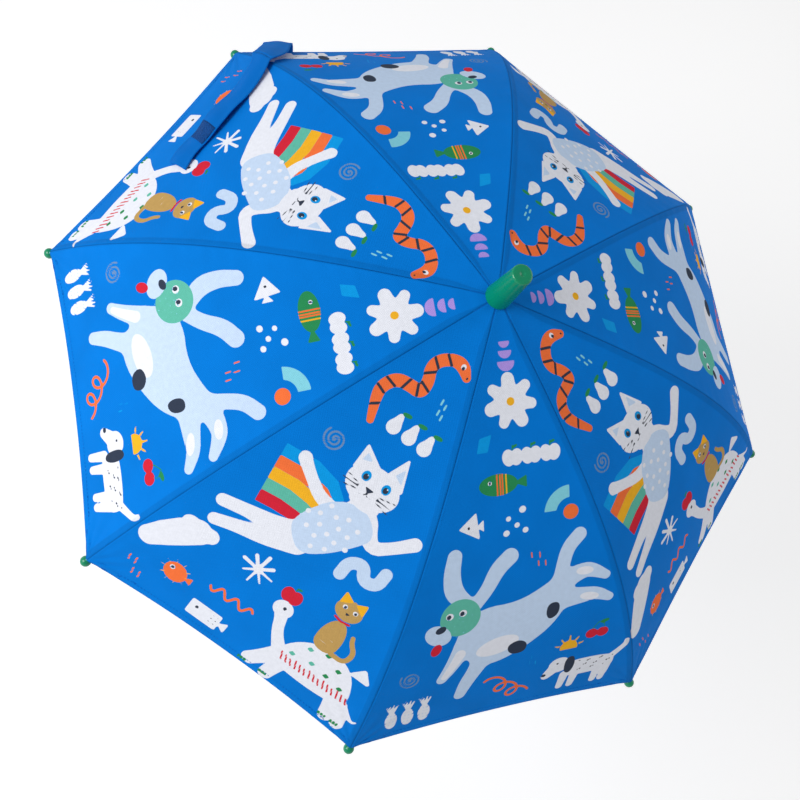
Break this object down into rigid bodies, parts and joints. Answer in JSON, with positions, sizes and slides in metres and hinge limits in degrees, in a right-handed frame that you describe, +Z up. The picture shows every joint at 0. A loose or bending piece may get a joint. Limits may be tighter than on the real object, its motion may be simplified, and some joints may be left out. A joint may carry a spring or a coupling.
{
  "type": "children's stick umbrella",
  "caption": "Open domed children's umbrella with printed cloth canopy, steel frame that folds by a sliding runner, plastic ferrule and crook handle.",
  "frame": {"origin": "middle of the straight grip, on the shaft axis", "axes": "+Z up along the shaft from the handle to the ferrule; +X towards the crook and the first rib"},
  "size_m": [0.6944, 0.6944, 0.5868],
  "materials": {
    "canopy_cloth": "woven polyester, saturated blue with a many-coloured print",
    "strap_cloth": "the canopy cloth, doubled and stitched",
    "hook_tape": "hook tape, dark blue",
    "green_plastic": "moulded green plastic, semi-gloss",
    "black_plastic": "moulded black nylon",
    "shaft_steel": "bright plated steel tube",
    "steel_wire": "plated steel channel and wire"
  },
  "bodies": {
    "root": {"shaft": "shaft_steel", "ferrule": "green_plastic", "top_washer": "steel_wire", "crown": "black_plastic", "crown_wire": "steel_wire", "stop_pin": "steel_wire", "handle_collar": "black_plastic", "handle": "green_plastic"},
    "runner": {"runner": "black_plastic", "runner_wire": "steel_wire"},
    "rib_1": {"rib_1": "steel_wire", "rib_pin_1": "steel_wire", "tip_1": "green_plastic"},
    "rib_2": {"rib_2": "steel_wire", "rib_pin_2": "steel_wire", "tip_2": "green_plastic"},
    "rib_3": {"rib_3": "steel_wire", "rib_pin_3": "steel_wire", "tip_3": "green_plastic"},
    "rib_4": {"rib_4": "steel_wire", "rib_pin_4": "steel_wire", "tip_4": "green_plastic"},
    "rib_5": {"rib_5": "steel_wire", "rib_pin_5": "steel_wire", "tip_5": "green_plastic", "tie_strap": "strap_cloth", "strap_patch": "hook_tape"},
    "rib_6": {"rib_6": "steel_wire", "rib_pin_6": "steel_wire", "tip_6": "green_plastic"},
    "rib_7": {"rib_7": "steel_wire", "rib_pin_7": "steel_wire", "tip_7": "green_plastic"},
    "rib_8": {"rib_8": "steel_wire", "rib_pin_8": "steel_wire", "tip_8": "green_plastic"},
    "stretcher_1": {"stretcher_1": "steel_wire"},
    "stretcher_2": {"stretcher_2": "steel_wire"},
    "stretcher_3": {"stretcher_3": "steel_wire"},
    "stretcher_4": {"stretcher_4": "steel_wire"},
    "stretcher_5": {"stretcher_5": "steel_wire"},
    "stretcher_6": {"stretcher_6": "steel_wire"},
    "stretcher_7": {"stretcher_7": "steel_wire"},
    "stretcher_8": {"stretcher_8": "steel_wire"},
    "gore_1": {"gore_1": "canopy_cloth"},
    "gore_2": {"gore_2": "canopy_cloth"},
    "gore_3": {"gore_3": "canopy_cloth"},
    "gore_4": {"gore_4": "canopy_cloth"},
    "gore_5": {"gore_5": "canopy_cloth"},
    "gore_6": {"gore_6": "canopy_cloth"},
    "gore_7": {"gore_7": "canopy_cloth"},
    "gore_8": {"gore_8": "canopy_cloth"},
    "top_catch": {"top_catch": "steel_wire"},
    "bottom_catch": {"bottom_catch": "steel_wire"}
  },
  "joints": [
    {"name": "runner_slide", "type": "slide", "parent": "root", "child": "runner", "axis": [0, 0, -1], "range_m": [0, 0.15944]},
    {"name": "rib_1_hinge", "type": "hinge", "parent": "root", "child": "rib_1", "pos_m": [0.009, 0, 0.45436], "axis": [0, 1, 0], "range_deg": [-0.5, 60.5]},
    {"name": "rib_2_hinge", "type": "hinge", "parent": "root", "child": "rib_2", "pos_m": [0.00636, 0.00636, 0.45436], "axis": [-0.7071, 0.7071, 0], "range_deg": [-0.5, 60.5]},
    {"name": "rib_3_hinge", "type": "hinge", "parent": "root", "child": "rib_3", "pos_m": [0, 0.009, 0.45436], "axis": [-1, 0, 0], "range_deg": [-0.5, 60.5]},
    {"name": "rib_4_hinge", "type": "hinge", "parent": "root", "child": "rib_4", "pos_m": [-0.00636, 0.00636, 0.45436], "axis": [-0.7071, -0.7071, 0], "range_deg": [-0.5, 60.5]},
    {"name": "rib_5_hinge", "type": "hinge", "parent": "root", "child": "rib_5", "pos_m": [-0.009, 0, 0.45436], "axis": [0, -1, 0], "range_deg": [-0.5, 60.5], "deforming": ["tie_strap", "strap_patch"]},
    {"name": "rib_6_hinge", "type": "hinge", "parent": "root", "child": "rib_6", "pos_m": [-0.00636, -0.00636, 0.45436], "axis": [0.7071, -0.7071, 0], "range_deg": [-0.5, 60.5]},
    {"name": "rib_7_hinge", "type": "hinge", "parent": "root", "child": "rib_7", "pos_m": [0, -0.009, 0.45436], "axis": [1, 0, 0], "range_deg": [-0.5, 60.5]},
    {"name": "rib_8_hinge", "type": "hinge", "parent": "root", "child": "rib_8", "pos_m": [0.00636, -0.00636, 0.45436], "axis": [0.7071, 0.7071, 0], "range_deg": [-0.5, 60.5]},
    {"name": "stretcher_1_hinge", "type": "hinge", "parent": "runner", "child": "stretcher_1", "pos_m": [0.009, 0, 0.31467], "axis": [0, -1, 0], "range_deg": [-0.5, 39.87]},
    {"name": "stretcher_2_hinge", "type": "hinge", "parent": "runner", "child": "stretcher_2", "pos_m": [0.00636, 0.00636, 0.31467], "axis": [0.7071, -0.7071, 0], "range_deg": [-0.5, 39.87]},
    {"name": "stretcher_3_hinge", "type": "hinge", "parent": "runner", "child": "stretcher_3", "pos_m": [0, 0.009, 0.31467], "axis": [1, 0, 0], "range_deg": [-0.5, 39.87]},
    {"name": "stretcher_4_hinge", "type": "hinge", "parent": "runner", "child": "stretcher_4", "pos_m": [-0.00636, 0.00636, 0.31467], "axis": [0.7071, 0.7071, 0], "range_deg": [-0.5, 39.87]},
    {"name": "stretcher_5_hinge", "type": "hinge", "parent": "runner", "child": "stretcher_5", "pos_m": [-0.009, 0, 0.31467], "axis": [0, 1, 0], "range_deg": [-0.5, 39.87]},
    {"name": "stretcher_6_hinge", "type": "hinge", "parent": "runner", "child": "stretcher_6", "pos_m": [-0.00636, -0.00636, 0.31467], "axis": [-0.7071, 0.7071, 0], "range_deg": [-0.5, 39.87]},
    {"name": "stretcher_7_hinge", "type": "hinge", "parent": "runner", "child": "stretcher_7", "pos_m": [0, -0.009, 0.31467], "axis": [-1, 0, 0], "range_deg": [-0.5, 39.87]},
    {"name": "stretcher_8_hinge", "type": "hinge", "parent": "runner", "child": "stretcher_8", "pos_m": [0.00636, -0.00636, 0.31467], "axis": [-0.7071, -0.7071, 0], "range_deg": [-0.5, 39.87]},
    {"name": "gore_1_fold", "type": "hinge", "parent": "rib_1", "child": "gore_1", "pos_m": [0.00199, 0.00083, 0.45032], "axis": [-0.8152, -0.3377, -0.4706], "range_deg": [-0.5, 44.62], "deforming": ["gore_1"]},
    {"name": "gore_2_fold", "type": "hinge", "parent": "rib_2", "child": "gore_2", "pos_m": [0.00083, 0.00199, 0.45032], "axis": [-0.3377, -0.8152, -0.4706], "range_deg": [-0.5, 44.62], "deforming": ["gore_2"]},
    {"name": "gore_3_fold", "type": "hinge", "parent": "rib_3", "child": "gore_3", "pos_m": [-0.00083, 0.00199, 0.45032], "axis": [0.3377, -0.8152, -0.4706], "range_deg": [-0.5, 44.62], "deforming": ["gore_3"]},
    {"name": "gore_4_fold", "type": "hinge", "parent": "rib_4", "child": "gore_4", "pos_m": [-0.00199, 0.00083, 0.45032], "axis": [0.8152, -0.3377, -0.4706], "range_deg": [-0.5, 44.62], "deforming": ["gore_4"]},
    {"name": "gore_5_fold", "type": "hinge", "parent": "rib_5", "child": "gore_5", "pos_m": [-0.00199, -0.00083, 0.45032], "axis": [0.8152, 0.3377, -0.4706], "range_deg": [-0.5, 44.62], "deforming": ["gore_5"]},
    {"name": "gore_6_fold", "type": "hinge", "parent": "rib_6", "child": "gore_6", "pos_m": [-0.00083, -0.00199, 0.45032], "axis": [0.3377, 0.8152, -0.4706], "range_deg": [-0.5, 44.62], "deforming": ["gore_6"]},
    {"name": "gore_7_fold", "type": "hinge", "parent": "rib_7", "child": "gore_7", "pos_m": [0.00083, -0.00199, 0.45032], "axis": [-0.3377, 0.8152, -0.4706], "range_deg": [-0.5, 44.62], "deforming": ["gore_7"]},
    {"name": "gore_8_fold", "type": "hinge", "parent": "rib_8", "child": "gore_8", "pos_m": [0.00199, -0.00083, 0.45032], "axis": [-0.8152, 0.3377, -0.4706], "range_deg": [-0.5, 44.62], "deforming": ["gore_8"]},
    {"name": "top_catch_press", "type": "slide", "parent": "root", "child": "top_catch", "axis": [-0.9239, -0.3827, 0], "range_m": [0, 0.0024], "stiffness_N_per_m": 450, "springref_m": -0.0006},
    {"name": "bottom_catch_press", "type": "slide", "parent": "root", "child": "bottom_catch", "axis": [-0.9239, -0.3827, 0], "range_m": [0, 0.0024], "stiffness_N_per_m": 450, "springref_m": -0.0006}
  ],
  "couplings": [
    {"joint": "rib_1_hinge", "follows": "runner_slide", "rad_per_m": 6.568},
    {"joint": "rib_2_hinge", "follows": "runner_slide", "rad_per_m": 6.568},
    {"joint": "rib_3_hinge", "follows": "runner_slide", "rad_per_m": 6.568},
    {"joint": "rib_4_hinge", "follows": "runner_slide", "rad_per_m": 6.568},
    {"joint": "rib_5_hinge", "follows": "runner_slide", "rad_per_m": 6.568},
    {"joint": "rib_6_hinge", "follows": "runner_slide", "rad_per_m": 6.568},
    {"joint": "rib_7_hinge", "follows": "runner_slide", "rad_per_m": 6.568},
    {"joint": "rib_8_hinge", "follows": "runner_slide", "rad_per_m": 6.568},
    {"joint": "stretcher_1_hinge", "follows": "runner_slide", "rad_per_m": 4.3093},
    {"joint": "stretcher_2_hinge", "follows": "runner_slide", "rad_per_m": 4.3093},
    {"joint": "stretcher_3_hinge", "follows": "runner_slide", "rad_per_m": 4.3093},
    {"joint": "stretcher_4_hinge", "follows": "runner_slide", "rad_per_m": 4.3093},
    {"joint": "stretcher_5_hinge", "follows": "runner_slide", "rad_per_m": 4.3093},
    {"joint": "stretcher_6_hinge", "follows": "runner_slide", "rad_per_m": 4.3093},
    {"joint": "stretcher_7_hinge", "follows": "runner_slide", "rad_per_m": 4.3093},
    {"joint": "stretcher_8_hinge", "follows": "runner_slide", "rad_per_m": 4.3093},
    {"joint": "gore_1_fold", "follows": "runner_slide", "rad_per_m": 4.8301},
    {"joint": "gore_2_fold", "follows": "runner_slide", "rad_per_m": 4.8301},
    {"joint": "gore_3_fold", "follows": "runner_slide", "rad_per_m": 4.8301},
    {"joint": "gore_4_fold", "follows": "runner_slide", "rad_per_m": 4.8301},
    {"joint": "gore_5_fold", "follows": "runner_slide", "rad_per_m": 4.8301},
    {"joint": "gore_6_fold", "follows": "runner_slide", "rad_per_m": 4.8301},
    {"joint": "gore_7_fold", "follows": "runner_slide", "rad_per_m": 4.8301},
    {"joint": "gore_8_fold", "follows": "runner_slide", "rad_per_m": 4.8301}
  ]
}
